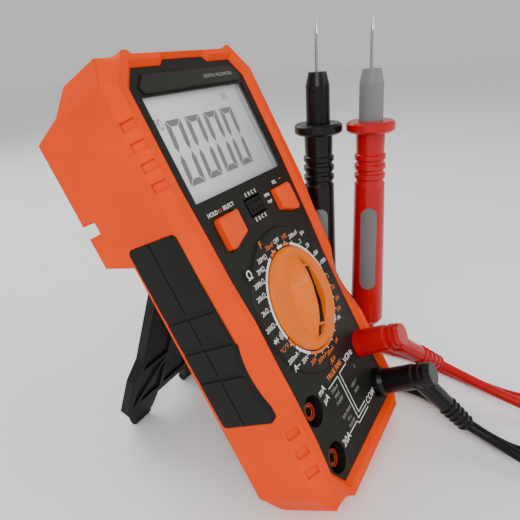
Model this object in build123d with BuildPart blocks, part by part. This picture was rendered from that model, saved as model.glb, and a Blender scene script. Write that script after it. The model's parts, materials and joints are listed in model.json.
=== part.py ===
"""Digital multimeter in a rubber holster, leaning on its rear stand, with a pair of test leads.

The row frame has +Z up and the front facing -Y.  The meter itself is drawn on FACE, a plane that
lies on its front panel: x across, y along the length, z out of the panel, origin at the dial.
"""
from build123d import *
from math import acos, cos, degrees, pi, radians, sin, sqrt, tan
import os

os.makedirs("parts", exist_ok=True)

# ---- driving dimensions (mm) ----
LEAN = 26.4                 # how far the meter leans back from upright, degrees
WIDTH = 92.0                # holster, across
TOP, BOTTOM = 111.0, -75.0  # holster ends, measured from the dial centre
LIP = 2.0                   # height of the holster's lip above the panel
BAND = -3.0                 # where the chamfered band meets the side wall
BACK_DEEP = -45.0           # back of the deep upper body
BACK_THIN = -30.0           # back of the thin lower body
HOLSTER_WALL = 3.1
CASE_WALL = 2.3
ROOF = -8.0                 # underside of the holster's front border
SPLIT = -16.0               # joint between front and rear case
FOOT_FLAT = 0.9             # how much the resting edge is flattened

DIAL_R, DIAL_GAP = 22.4, 0.3
PLATEAU_R, PLATEAU_H = 32.0, 1.1
LCD_W, LCD_LOW, LCD_HIGH = 64.4, 54.4, 93.9
BUTTON_RISE = 3.0
JACK_X, JACK_Y = 26.5, (-37.8, -59.5)
JACK_BORE_R, JACK_WELL_R, COLLAR_R = 2.0, 6.15, 3.5
JACK_FLOOR = -10.8
BOARD_TOP, BOARD_T = -11.0, 1.6

HINGE_Y, HINGE_Z = 38.0, -33.8
STAND_T, STAND_LEN, PAD_R = 4.4, 104.2, 2.5
PIN_R, PIN_GAP = 1.5, 0.05

CABLE_D = 4.8
COIL_R, COIL_H = 27.5, 10.2
FLOOR = CABLE_D / 2 + 0.1

C, S = cos(radians(LEAN)), sin(radians(LEAN))
FACE_UP = -(BOTTOM * C + BACK_THIN * S) - FOOT_FLAT   # dial centre's height above the floor
FACE_BACK = -27.42                                    # puts the origin under the middle of the meter
FACE = Plane(origin=(0, FACE_BACK, FACE_UP), x_dir=(1, 0, 0), z_dir=(0, -C, S))
HINGE_UP = HINGE_Y * C + HINGE_Z * S + FACE_UP
STAND_OPEN = LEAN + degrees(acos((HINGE_UP - PAD_R) / STAND_LEN))


def face(height=0.0):
    """Plane parallel to the front panel, at a height above it."""
    return FACE.offset(height)


def side(across=0.0):
    """Plane across the meter; its x runs along the meter and its y out of the panel."""
    return Plane(origin=FACE.from_local_coords((across, 0, 0)), x_dir=FACE.y_dir, z_dir=FACE.x_dir)


def place(x, y, z):
    """A point given on the meter's face, in the row frame."""
    return FACE.from_local_coords(Vector(x, y, z))


def turned(x, y, z, out, along=(0, 1, 0)):
    """Plane at a point of the meter, with its normal and x direction given in the meter's own axes."""
    origin = place(x, y, z)
    return Plane(origin=origin, x_dir=place(*along) - FACE.origin, z_dir=place(*out) - FACE.origin)


def save(piece, label):
    piece.part.label = label
    export_step(piece.part, f"parts/{label}.step")


def mirrored_outline(points):
    """Closed outline from the points of its right half, listed from top to bottom."""
    Polyline(*points, *[(-x, y) for x, y in reversed(points) if x > 0], close=True)


BODY = [(42, TOP), (WIDTH / 2, 100.5), (WIDTH / 2, -62), (38, BOTTOM)]
BAND_BASE = [(29.3, TOP), (31.5, TOP), (41.2, TOP), (46, 100.5), (46, 46), (46, 30), (46, 10), (46, -6),
             (46, -27), (46, -62), (38, BOTTOM)]
BAND_TOP = [(29.3, 109.4), (30.5, 110.9), (33.2, 110.9), (42.3, 99.5), (42.8, 46), (40.4, 30), (38.9, 10),
            (36.2, -6), (38.9, -27), (39.3, -61), (30, -74.8)]
PANEL = [(12.5, 107.5), (15, 105.3), (31, 105.3), (36.8, 97.5), (36.8, 60), (35.9, 43), (35.2, 24),
         (33.6, 8), (33.2, -6), (33.3, -45), (34.8, -59.5), (28.7, -69)]
PROFILE = [(TOP, 12), (TOP, -22), (103.5, -30), (99.6, BACK_DEEP), (47.5, BACK_DEEP), (43, BACK_THIN),
           (BOTTOM, BACK_THIN), (BOTTOM, 12)]


def outline(points, inset=0.0):
    with BuildLine() as border:
        mirrored_outline(points)
    make_face(border.edges())
    if inset:
        offset(amount=-inset, kind=Kind.INTERSECTION)


def body_block(inset, high, low):
    """Solid with the meter's outline and stepped back, shrunk by an inset."""
    with BuildPart() as block:
        with BuildSketch(face(high)):
            outline(BODY, inset)
        extrude(amount=low - high)
        with BuildSketch(side(-WIDTH)):
            with BuildLine():
                Polyline(*PROFILE, close=True)
            make_face()
            offset(amount=-inset, kind=Kind.INTERSECTION)
        extrude(amount=2 * WIDTH, mode=Mode.INTERSECT)
    return block.part


SCOOP_R, SCOOP_SLOPE = 40.0, radians(23.5)


def scoop_axis(hand):
    """Where the round cutter stands that lowers the holster's lip at the waist."""
    return turned(hand * (33.3 + SCOOP_R * sin(SCOOP_SLOPE)), -9, 0.2 + SCOOP_R * cos(SCOOP_SLOPE),
                  out=(hand * cos(SCOOP_SLOPE), 0, -sin(SCOOP_SLOPE)))


# ---- holster, grips and cases ----
VENTS_HIGH, VENTS_LOW = (86.5, 79.1, 71.8, 64.4), (-35.9, -44.3, -52.8)
BACK_WINDOW = (64.0, -64.0, 41.5)     # width, low end and high end of the opening in the thin back
DOOR_WINDOW = (66.0, 56.0, 94.0)      # the same, in the deep back
GRIP = [(49.8, -29.0), (48.2, -3.4), (-26.8, -1.9), (-28.4, -4.0), (-28.4, -28.4)]
GRIP_X, GRIP_T = 44.3, 2.3
GROOVES = (19.0, 5.9, -6.9)

with BuildPart() as holster:
    add(body_block(0, BAND, BACK_DEEP - 5))
    with BuildSketch(face(BAND)):
        outline(BAND_BASE)
    with BuildSketch(face(LIP)):
        outline(BAND_TOP)
    loft()
    add(body_block(HOLSTER_WALL, ROOF, BACK_DEEP - 5), mode=Mode.SUBTRACT)
    with BuildSketch(face(ROOF - 1)):
        outline(PANEL)
    extrude(amount=-ROOF + 1, mode=Mode.SUBTRACT)
    with BuildSketch(face(0)):
        outline(PANEL)
    with BuildSketch(face(LIP + 0.01)):
        outline(PANEL, -2.0)
    loft(mode=Mode.SUBTRACT)
    for hand in (-1, 1):
        with Locations(scoop_axis(hand)):
            Cylinder(SCOOP_R, 80, mode=Mode.SUBTRACT)
        for rows, x, out in ((VENTS_HIGH, 44.4, (5, 0, 3.2)), (VENTS_LOW, 42.6, (5, 0, 6.7))):
            for y in rows:
                vent = turned(hand * x, y, -0.5, out=(hand * out[0], 0, out[2]))
                with Locations(vent):
                    Box(3.2, 5.2, 2.2, mode=Mode.SUBTRACT)
        with BuildSketch(side(hand * 60)) as grip_pocket:
            with BuildLine():
                Polyline(*GRIP, close=True)
            make_face()
            fillet(grip_pocket.vertices(), 2.2)
        extrude(amount=-hand * (60 - GRIP_X), mode=Mode.SUBTRACT)
    for width, low, high in (BACK_WINDOW, DOOR_WINDOW):
        with BuildSketch(face(-20)):
            with Locations((0, (low + high) / 2)):
                RectangleRounded(width, high - low, 4)
        extrude(amount=-40, mode=Mode.SUBTRACT)
    with BuildSketch(side(-60)):
        with Locations((62.9, -45)):
            Rectangle(5.2, 14.6)
    extrude(amount=120, mode=Mode.SUBTRACT)
    with BuildSketch(Plane.XY):
        Rectangle(200, 300)
    extrude(amount=-10, mode=Mode.SUBTRACT)
save(holster, "holster")

for hand, label in ((-1, "left_grip"), (1, "right_grip")):
    with BuildPart() as grip:
        with BuildSketch(side(hand * (GRIP_X + 0.05))) as grip_shape:
            with BuildLine():
                Polyline(*GRIP, close=True)
            make_face()
            fillet(grip_shape.vertices(), 2.2)
            offset(amount=-0.1)
        extrude(amount=hand * GRIP_T)
        outer = grip.faces().sort_by(Axis.X)[-1 if hand > 0 else 0]
        chamfer(outer.edges(), 0.5)
        for y in GROOVES:
            groove = turned(hand * (GRIP_X + GRIP_T), y, -16, out=(hand, 0, 0))
            with Locations(groove):
                Box(2.6, 40, 1.2, mode=Mode.SUBTRACT)
        parting = turned(hand * (GRIP_X + GRIP_T), 10, -16.8, out=(hand, 0, 0))
        with Locations(parting):
            Box(90, 0.5, 0.8, mode=Mode.SUBTRACT)
        with Locations(scoop_axis(hand)):
            Cylinder(SCOOP_R, 80, mode=Mode.SUBTRACT)
    save(grip, label)

PANEL_T = 2.5
BUTTON = [(28.4, 44.6), (27.2, 45.8), (15.4, 45.8), (15.4, 36.2), (25.4, 33.0), (27.6, 33.0), (28.4, 34.0)]
SOCKET_W, SOCKET_H, SOCKET_Y = 11.0, 6.4, 43.4
JACKS = {"ma": (-JACK_X, JACK_Y[0]), "20a": (-JACK_X, JACK_Y[1]), "volt": (JACK_X, JACK_Y[0]),
         "com": (JACK_X, JACK_Y[1])}
SCREWS_HIGH, SCREWS_LOW = [(37.4, 88), (-37.4, 88)], [(36.5, -48.6), (-36.5, -48.6)]
BOARD_SCREWS = [(27, 15), (-27, 15), (27, -22), (-27, -22)]
SCREW_R, BOSS_R, HEAD_R, HEAD_T = 1.25, 3.0, 2.4, 1.3


def button_shape(hand, grow=0.0):
    with BuildLine() as border:
        Polyline(*[(hand * x, y) for x, y in BUTTON], close=True)
    make_face(border.edges())
    if grow:
        offset(amount=grow, kind=Kind.INTERSECTION)


with BuildPart() as front_case:
    with BuildSketch(face(ROOF - 0.1)):
        outline(PANEL, 0.1)
    extrude(amount=-ROOF + 0.1)
    with BuildSketch(face(0)):
        Circle(PLATEAU_R)
    extrude(amount=PLATEAU_H, taper=35)
    add(body_block(HOLSTER_WALL + 0.1, ROOF - 0.1, SPLIT))
    add(body_block(HOLSTER_WALL + CASE_WALL, ROOF - 2.6, SPLIT - 1), mode=Mode.SUBTRACT)
    with BuildSketch(face(-PANEL_T)):
        outline(PANEL, 2.4)
    extrude(amount=-12, mode=Mode.SUBTRACT)
    with BuildSketch(face(-PANEL_T)):
        with Locations(*JACKS.values()):
            Circle(JACK_WELL_R + 0.5)
    extrude(amount=JACK_FLOOR + PANEL_T)
    with BuildSketch(face(0)):
        with Locations(*JACKS.values()):
            Circle(JACK_WELL_R)
    extrude(amount=JACK_FLOOR + 1.2, mode=Mode.SUBTRACT)
    with BuildSketch(face(0)):
        with Locations(*JACKS.values()):
            Circle(COLLAR_R + 0.05)
        with Locations((0, (LCD_LOW + LCD_HIGH) / 2)):
            Rectangle(LCD_W, LCD_HIGH - LCD_LOW)
        with Locations((0, SOCKET_Y)):
            Rectangle(SOCKET_W + 0.2, SOCKET_H + 0.2)
        for hand in (-1, 1):
            button_shape(hand, 0.3)
    extrude(amount=-20, mode=Mode.SUBTRACT)
    with BuildSketch(face(-1.0)):
        with Locations((0, (LCD_LOW + LCD_HIGH) / 2)):
            Rectangle(LCD_W + 3.0, LCD_HIGH - LCD_LOW + 3.0)
    extrude(amount=-5, mode=Mode.SUBTRACT)
    with BuildSketch(face(PLATEAU_H)):
        Circle(DIAL_R + DIAL_GAP)
    extrude(amount=-PLATEAU_H - 0.8, mode=Mode.SUBTRACT)
    with BuildSketch(face(PLATEAU_H)):
        Circle(9.0)
    extrude(amount=-10, mode=Mode.SUBTRACT)
    with BuildSketch(face(BOARD_TOP + 0.05)):
        with Locations(*BOARD_SCREWS):
            Circle(2.6)
            Circle(SCREW_R, mode=Mode.SUBTRACT)
    extrude(amount=-PANEL_T - BOARD_TOP)
    with BuildSketch(face(SPLIT)):
        with Locations(*SCREWS_HIGH, *SCREWS_LOW):
            Circle(BOSS_R)
    extrude(amount=ROOF - 2 - SPLIT)
    with BuildSketch(face(SPLIT)):
        with Locations(*SCREWS_HIGH, *SCREWS_LOW):
            Circle(SCREW_R)
    extrude(amount=5, mode=Mode.SUBTRACT)
save(front_case, "front_case")

DOOR_W, DOOR_LOW, DOOR_HIGH = 56.0, 60.5, 90.5
DOOR_SCREW = (24.3, 75.5)
LUG_IN, LUG_OUT, LUG_R = 22.0, 27.0, 3.2
CASE_BACK_THIN = BACK_THIN + HOLSTER_WALL + 0.1
CASE_BACK_DEEP = BACK_DEEP + HOLSTER_WALL + 0.1

with BuildPart() as rear_case:
    add(body_block(HOLSTER_WALL + 0.1, SPLIT - 0.1, BACK_DEEP - 5))
    add(body_block(HOLSTER_WALL + CASE_WALL, SPLIT + 1, BACK_DEEP - 5), mode=Mode.SUBTRACT)
    with BuildSketch(face(CASE_BACK_DEEP)):
        with Locations((0, (DOOR_LOW + DOOR_HIGH) / 2)):
            RectangleRounded(DOOR_W, DOOR_HIGH - DOOR_LOW, 2)
    extrude(amount=CASE_WALL + 1, mode=Mode.SUBTRACT)
    for spots, back in ((SCREWS_HIGH, CASE_BACK_DEEP), (SCREWS_LOW, CASE_BACK_THIN)):
        with BuildSketch(face(back + 1)):
            with Locations(*spots):
                Circle(BOSS_R)
        extrude(amount=SPLIT - back - 1.1)
        with BuildSketch(face(back - 1)):
            with Locations(*spots):
                Circle(SCREW_R + 0.05)
        extrude(amount=SPLIT - back + 2, mode=Mode.SUBTRACT)
        with BuildSketch(face(back - 1)):
            with Locations(*spots):
                Circle(HEAD_R + 0.05)
        extrude(amount=HEAD_T + 1.1, mode=Mode.SUBTRACT)
    for hand in (-1, 1):
        with BuildSketch(side(hand * LUG_IN)):
            with Locations((HINGE_Y, HINGE_Z)):
                Circle(LUG_R)
            with Locations((HINGE_Y, (HINGE_Z + CASE_BACK_THIN) / 2 + 0.5)):
                Rectangle(2 * LUG_R, CASE_BACK_THIN - HINGE_Z + 1)
        extrude(amount=hand * (LUG_OUT - LUG_IN))
        with BuildSketch(side(hand * LUG_IN)):
            with Locations((HINGE_Y, HINGE_Z)):
                Circle(PIN_R)
        extrude(amount=hand * (LUG_OUT - LUG_IN), mode=Mode.SUBTRACT)
    with BuildSketch(face(CASE_BACK_DEEP + 2.2)):
        with Locations(DOOR_SCREW):
            Circle(2.6)
        with Locations((DOOR_SCREW[0] + 8.3, DOOR_SCREW[1])):
            Rectangle(16.6, 3)
        with Locations(DOOR_SCREW):
            Circle(SCREW_R, mode=Mode.SUBTRACT)
    extrude(amount=6)
save(rear_case, "rear_case")

# ---- display ----
LCD_MID = (LCD_LOW + LCD_HIGH) / 2


def plate(width, height, y, high, low, radius=0.0):
    """Flat block lying parallel to the panel, centred across the meter."""
    with BuildPart() as block:
        with BuildSketch(face(high)):
            with Locations((0, y)):
                if radius:
                    RectangleRounded(width, height, radius)
                else:
                    Rectangle(width, height)
        extrude(amount=low - high)
    return block


save(plate(LCD_W + 2.6, LCD_HIGH - LCD_LOW + 2.6, LCD_MID, -1.05, -2.45), "lcd_window")
save(plate(66.0, 43.6, LCD_MID, -2.7, -5.2), "lcd_glass")
save(plate(62.0, 35.0, LCD_MID, -5.3, -7.8), "backlight")

with BuildPart() as lcd_frame:
    with BuildSketch(face(-2.7)):
        with Locations((0, LCD_MID)):
            Rectangle(67.6, 45.8)
            Rectangle(66.3, 43.9, mode=Mode.SUBTRACT)
    extrude(amount=BOARD_TOP + 2.8)
save(lcd_frame, "lcd_frame")

with BuildPart() as contact_strips:
    with BuildSketch(face(-5.25)):
        with Locations((0, LCD_MID - 20.0), (0, LCD_MID + 20.0)):
            Rectangle(60, 2.2)
    extrude(amount=BOARD_TOP + 5.3)
save(contact_strips, "contact_strips")

with BuildPart() as name_plate:
    with BuildSketch(face(0.02)):
        outline([(28, 102.4), (32.3, 97.8), (30.9, 95.3)])
    extrude(amount=1.1)
    chamfer(name_plate.faces().sort_by(Axis(FACE.origin, FACE.z_dir))[-1].edges(), 0.4)
save(name_plate, "name_plate")

# ---- board and what is on it ----
with BuildPart() as main_board:
    with BuildSketch(face(BOARD_TOP)):
        with Locations((0, 15)):
            RectangleRounded(66.4, 164, 3)
        with Locations(*JACKS.values()):
            Circle(2.5, mode=Mode.SUBTRACT)
        Circle(4.2, mode=Mode.SUBTRACT)
        with Locations(*BOARD_SCREWS):
            Circle(SCREW_R + 0.05, mode=Mode.SUBTRACT)
    extrude(amount=-BOARD_T)
save(main_board, "main_board")
BOARD_BACK = BOARD_TOP - BOARD_T

for jack, (x, y) in JACKS.items():
    with BuildPart() as socket:
        with BuildSketch(face(-2.7)):
            with Locations((x, y)):
                Circle(2.4)
        extrude(amount=-20.5)
        with BuildSketch(face(-2.7)):
            with Locations((x, y)):
                Circle(JACK_BORE_R)
        extrude(amount=-19.0, mode=Mode.SUBTRACT)
    save(socket, f"jack_socket_{jack}")

with BuildPart() as jack_collars:
    with BuildSketch(face(-2.2)):
        with Locations(*JACKS.values()):
            Circle(COLLAR_R)
        with Locations(*JACKS.values()):
            Circle(2.42, mode=Mode.SUBTRACT)
    extrude(amount=BOARD_TOP + 2.3)
save(jack_collars, "jack_collars")

with BuildPart() as transistor_socket:
    with BuildSketch(face(0.5)):
        with Locations((0, SOCKET_Y)):
            Rectangle(SOCKET_W, SOCKET_H)
    extrude(amount=BOARD_TOP - 0.4)
    chamfer(transistor_socket.faces().sort_by(Axis(FACE.origin, FACE.z_dir))[-1].edges(), 0.3)
    with BuildSketch(face(0.5)):
        with Locations((0, SOCKET_Y)):
            with GridLocations(2.5, 3.0, 4, 2):
                Circle(0.5)
    extrude(amount=-8, mode=Mode.SUBTRACT)
save(transistor_socket, "transistor_socket")

with BuildPart() as button_switches:
    for hand in (-1, 1):
        with BuildSketch(face(BOARD_TOP + 0.05)):
            with Locations((hand * 21.5, 40)):
                Rectangle(6, 6)
        extrude(amount=3.2)
        with BuildSketch(face(BOARD_TOP + 3.2)):
            with Locations((hand * 21.5, 40)):
                Circle(1.7)
        extrude(amount=0.9)
save(button_switches, "button_switches")
SWITCH_TOP = BOARD_TOP + 4.1

with BuildPart() as buzzer:
    with BuildSketch(face(BOARD_BACK - 0.05)):
        with Locations((22, 30)):
            Circle(6)
    extrude(amount=-5.5)
    with BuildSketch(face(BOARD_BACK - 6)):
        with Locations((22, 30)):
            Circle(1)
    extrude(amount=3, mode=Mode.SUBTRACT)
save(buzzer, "buzzer")

FUSES = {"fuse_ma": (-8.0, 2.5, 20.0), "fuse_20a": (8.0, 3.0, 30.0)}
FUSE_Z, FUSE_MID = -18.5, -45.0
with BuildPart() as fuse_clips:
    for x, radius, length in FUSES.values():
        for end in (-1, 1):
            y = FUSE_MID + end * (length / 2 - 3)
            with BuildSketch(side(x)) as clip:
                with Locations((y, (FUSE_Z + BOARD_BACK - radius) / 2)):
                    Rectangle(4, BOARD_BACK - radius - FUSE_Z - 0.1)
            extrude(amount=radius + 0.8, both=True)
            with BuildSketch(turned(x, FUSE_MID, FUSE_Z, out=(0, 1, 0), along=(1, 0, 0))):
                Circle(radius + 0.05)
            extrude(amount=30, both=True, mode=Mode.SUBTRACT)
save(fuse_clips, "fuse_clips")
for label, (x, radius, length) in FUSES.items():
    with BuildPart() as fuse:
        with BuildSketch(turned(x, FUSE_MID, FUSE_Z, out=(0, 1, 0), along=(1, 0, 0))):
            Circle(radius)
        extrude(amount=length / 2, both=True)
        with BuildSketch(turned(x, FUSE_MID, FUSE_Z, out=(0, 1, 0), along=(1, 0, 0))):
            Circle(radius + 1)
            Circle(radius - 0.25, mode=Mode.SUBTRACT)
        extrude(amount=length / 2 - 5.5, both=True, mode=Mode.SUBTRACT)
    save(fuse, label)

SHUNT_R = 0.8
with BuildPart() as shunt_wire:
    with BuildLine() as bridge:
        FilletPolyline(place(-16, -66, BOARD_BACK), place(-16, -66, -20), place(16, -66, -20),
                       place(16, -66, BOARD_BACK), radius=3)
    with BuildSketch(Plane(origin=bridge.line @ 0, z_dir=bridge.line % 0)):
        Circle(SHUNT_R)
    sweep(path=bridge.line)
save(shunt_wire, "shunt_wire")

# ---- battery ----
BATTERY_X, BATTERY_Y, BATTERY_HIGH, BATTERY_LOW = 17.0, 75.5, -21.5, -39.0
with BuildPart() as battery:
    with BuildSketch(face(BATTERY_HIGH)):
        with Locations((BATTERY_X - 23.2, BATTERY_Y)):
            RectangleRounded(46.4, 26.2, 2.5)
    extrude(amount=BATTERY_LOW - BATTERY_HIGH)
    for y in (-6.3, 6.3):
        with BuildSketch(side(BATTERY_X)):
            with Locations((BATTERY_Y + y, (BATTERY_HIGH + BATTERY_LOW) / 2)):
                Circle(3)
        extrude(amount=2.2)
save(battery, "battery")
with BuildPart() as battery_snap:
    with BuildSketch(side(BATTERY_X + 0.05)):
        with Locations((BATTERY_Y, (BATTERY_HIGH + BATTERY_LOW) / 2)):
            RectangleRounded(25, 13, 2)
            with Locations((-6.3, 0), (6.3, 0)):
                Circle(3.05, mode=Mode.SUBTRACT)
    extrude(amount=3)
save(battery_snap, "battery_snap")

DOOR_T = 1.9
with BuildPart() as battery_cover:
    with BuildSketch(face(CASE_BACK_DEEP + 0.1)):
        with Locations((0, (DOOR_LOW + DOOR_HIGH) / 2)):
            RectangleRounded(DOOR_W - 0.3, DOOR_HIGH - DOOR_LOW - 0.3, 1.9)
    extrude(amount=DOOR_T)
    with BuildSketch(face(CASE_BACK_DEEP + 0.1)):
        with Locations((0, (DOOR_LOW + DOOR_HIGH) / 2)):
            with GridLocations(0, 3, 1, 5):
                Rectangle(18, 1.2)
    extrude(amount=-0.7)
    with BuildSketch(face(CASE_BACK_DEEP)):
        with Locations(DOOR_SCREW):
            Circle(SCREW_R + 0.05)
    extrude(amount=4, both=True, mode=Mode.SUBTRACT)
save(battery_cover, "battery_cover")


def screws(spots, head, tip):
    """Pan-head screws driven in from the back, each with a cross cut in its head."""
    with BuildPart() as row:
        with BuildSketch(face(head)):
            with Locations(*spots):
                Circle(HEAD_R)
        extrude(amount=-HEAD_T)
        with BuildSketch(face(head)):
            with Locations(*spots):
                Circle(SCREW_R - 0.02)
        extrude(amount=tip - head)
        with BuildSketch(face(head - HEAD_T)):
            with Locations(*spots):
                Rectangle(2.8, 0.6)
                Rectangle(0.6, 2.8)
        extrude(amount=0.8, mode=Mode.SUBTRACT)
    return row


save(screws([DOOR_SCREW], CASE_BACK_DEEP, -37.5), "battery_screw")
save(screws(BOARD_SCREWS, BOARD_BACK - 0.02, -6.5), "board_screws")
with BuildPart() as case_screws:
    add(screws(SCREWS_HIGH, CASE_BACK_DEEP + HEAD_T + 0.08, -12.5).part)
    add(screws(SCREWS_LOW, CASE_BACK_THIN + HEAD_T + 0.08, -12.5).part)
save(case_screws, "case_screws")

with BuildPart() as hinge_pins:
    for hand in (-1, 1):
        with BuildSketch(side(hand * 16)):
            with Locations((HINGE_Y, HINGE_Z)):
                Circle(PIN_R)
        extrude(amount=hand * (LUG_OUT - 16))
save(hinge_pins, "hinge_pins")

# ---- rotary switch ----
KNOB_TURN = 69.5
KNOB_LOW, KNOB_EDGE, KNOB_TOP = -0.5, 2.6, 8.9
HUB_R, ROTOR_R, ROTOR_HIGH, ROTOR_LOW = 8.7, 19.0, -3.2, -5.6


def knob(height):
    """Plane across the dial, its x along the knob's pointer."""
    return turned(0, 0, height, out=(0, 0, 1), along=(cos(radians(KNOB_TURN)), sin(radians(KNOB_TURN)), 0))


KNOB_RIM_Z, BAND_FLOOR, TIP_FLOOR = 2.2, 5.6, 3.0


def lens(half_length, left, right):
    with BuildLine() as rim:
        ThreePointArc((-half_length, 0), (0, left), (half_length, 0))
        ThreePointArc((half_length, 0), (0, -right), (-half_length, 0))
    make_face(rim.edges())


def inlay_band():
    with BuildLine() as rim:
        Polyline((12, 1.3), (0, 2.4), (-12, 1.3), (-12, -3.2), (-3, -4.8), (12, -2.2), close=True)
    make_face(rim.edges())


def inlay_ends():
    for corners in ([(17.2, 0), (13, 1.5), (13, -2)],
                    [(-13, 1.6), (-17.6, 0.2), (-16.5, -2.4), (-13, -3.8)]):
        with BuildLine() as rim:
            Polyline(*corners, close=True)
        make_face(rim.edges())


with BuildPart() as range_knob:
    with BuildSketch(knob(KNOB_LOW)):
        Circle(DIAL_R)
    extrude(amount=KNOB_EDGE - KNOB_LOW)
    chamfer(range_knob.faces().sort_by(Axis(FACE.origin, FACE.z_dir))[-1].edges(), 0.9)
    with BuildSketch(knob(KNOB_RIM_Z)):
        lens(21.2, 9.7, 9.7)
    with BuildSketch(knob(KNOB_TOP + 0.3)):
        lens(20, 3.2, 5.9)
    loft()
    with BuildSketch(Plane(knob(0).origin, x_dir=knob(0).x_dir, z_dir=-knob(0).y_dir)):
        with BuildLine() as crest:
            ThreePointArc((-19.1, KNOB_EDGE), (0, KNOB_TOP), (19.1, KNOB_EDGE))
            Polyline((19.1, KNOB_EDGE), (24, KNOB_EDGE), (24, 12), (-24, 12), (-24, KNOB_EDGE),
                     (-19.1, KNOB_EDGE))
        make_face(crest.edges())
    extrude(amount=14, both=True, mode=Mode.SUBTRACT)
    with BuildSketch(knob(BAND_FLOOR)):
        inlay_band()
    extrude(amount=5, mode=Mode.SUBTRACT)
    with BuildSketch(knob(TIP_FLOOR)):
        inlay_ends()
    extrude(amount=5, mode=Mode.SUBTRACT)
    with BuildSketch(knob(KNOB_LOW)):
        Circle(HUB_R)
    extrude(amount=ROTOR_HIGH + 0.05 - KNOB_LOW)
save(range_knob, "range_knob")

with BuildPart() as knob_inlay:
    with BuildSketch(knob(BAND_FLOOR + 0.02)):
        inlay_band()
        offset(amount=-0.03, kind=Kind.INTERSECTION)
    extrude(amount=0.5)
    with BuildSketch(knob(TIP_FLOOR + 0.02)):
        inlay_ends()
        offset(amount=-0.03, kind=Kind.INTERSECTION)
    extrude(amount=0.5)
save(knob_inlay, "knob_inlay")

BALL_R, BALL_SPOTS = 1.2, [(0, 16.5), (0, -16.5)]
with BuildPart() as knob_rotor:
    with BuildSketch(knob(ROTOR_HIGH)):
        Circle(ROTOR_R)
    extrude(amount=ROTOR_LOW - ROTOR_HIGH)
    with BuildSketch(knob(ROTOR_LOW)):
        Circle(3.9)
    extrude(amount=-8.5)
    with BuildSketch(knob(ROTOR_HIGH)):
        with Locations(*BALL_SPOTS):
            Circle(BALL_R + 0.02)
    extrude(amount=-2.2, mode=Mode.SUBTRACT)
save(knob_rotor, "knob_rotor")
with BuildPart() as detent_balls:
    with Locations(knob(ROTOR_HIGH - 0.85)):
        with Locations(*[(x, y, 0) for x, y in BALL_SPOTS]):
            Sphere(BALL_R)
save(detent_balls, "detent_balls")
with BuildPart() as rotor_contacts:
    with BuildSketch(knob(ROTOR_LOW - 0.03)):
        for reach in (8.0, 11.0, 14.0):
            with PolarLocations(reach, 3, 20):
                Rectangle(1.4, 4.2)
    extrude(amount=-0.5)
    with BuildSketch(knob(ROTOR_LOW - 0.03)):
        for reach in (8.0, 11.0, 14.0):
            with PolarLocations(reach, 3, 20):
                with Locations((0, 1.5)):
                    Rectangle(1.4, 1.0)
    extrude(amount=BOARD_TOP + 0.35 - ROTOR_LOW)
save(rotor_contacts, "rotor_contacts")

# ---- push buttons ----
TRAVEL = 1.2
for hand, label in ((-1, "hold_button"), (1, "select_button")):
    with BuildPart() as button:
        with BuildSketch(face(BUTTON_RISE)):
            button_shape(hand)
        extrude(amount=SWITCH_TOP + TRAVEL + 0.05 - BUTTON_RISE)
        chamfer(button.faces().sort_by(Axis(FACE.origin, FACE.z_dir))[-1].edges(), 0.8)
        with BuildSketch(face(-PANEL_T - 0.3)):
            button_shape(hand, 1.2)
        extrude(amount=-1.2)
    save(button, label)

# ---- rear stand ----
STAND = [(21, 1), (21, 5), (33, 5), (32, 54), (36, 66), (36, 89), (28.3, 101.6), (14.2, 101.6),
         (12.2, 94), (12.2, 91.5)]
KNUCKLE_R, KNUCKLE_W = 3.1, 21.6
OPEN = radians(STAND_OPEN)


def stand(height=0.0):
    """Plane of the rear stand: x across, y from the hinge to the feet, z to its back."""
    return turned(0, HINGE_Y, HINGE_Z, out=(0, sin(OPEN), -cos(OPEN)), along=(1, 0, 0)).offset(height)


def stand_side(across):
    """Plane across the stand, its x from the hinge to the feet."""
    return Plane(origin=stand().from_local_coords((across, 0, 0)), x_dir=stand().y_dir, z_dir=stand().x_dir)


with BuildPart() as rear_stand:
    with BuildSketch(stand(-STAND_T / 2)):
        outline(STAND)
    extrude(amount=STAND_T)
    for height, way in ((-STAND_T / 2, 1), (STAND_T / 2, -1)):
        with BuildSketch(stand(height)) as pocket:
            outline([(28.6, 9), (28.2, 54), (32.2, 66.5), (32.2, 86.5), (14, 86.5)])
            for hand in (-1, 1):
                with Locations((hand * 11, 46)):
                    Rectangle(3.2, 100, mode=Mode.SUBTRACT)
                with Locations((hand * 20, 34)):
                    Rectangle(2.6, 62, rotation=hand * 28, mode=Mode.SUBTRACT)
                with Locations((hand * 20, 74)):
                    Rectangle(2.6, 50, rotation=-hand * 38, mode=Mode.SUBTRACT)
            with Locations((0, 62)):
                Rectangle(80, 2.6, mode=Mode.SUBTRACT)
        extrude(amount=way * 1.1, mode=Mode.SUBTRACT)
    with BuildSketch(stand_side(-KNUCKLE_W)):
        Circle(KNUCKLE_R)
    extrude(amount=2 * KNUCKLE_W)
    for hand in (-1, 1):
        with BuildSketch(stand_side(hand * (KNUCKLE_W + 1))):
            Circle(PIN_R + PIN_GAP)
        extrude(amount=-hand * 6.9, mode=Mode.SUBTRACT)
save(rear_stand, "rear_stand")

with BuildPart() as stand_pads:
    for hand in (-1, 1):
        with BuildSketch(stand_side(hand * 15.3)):
            with Locations((STAND_LEN, 0)):
                Circle(PAD_R)
            with Locations((STAND_LEN - 1.25, 0)):
                Rectangle(2.5, STAND_T)
        extrude(amount=hand * 11.2)
save(stand_pads, "stand_pads")

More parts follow.
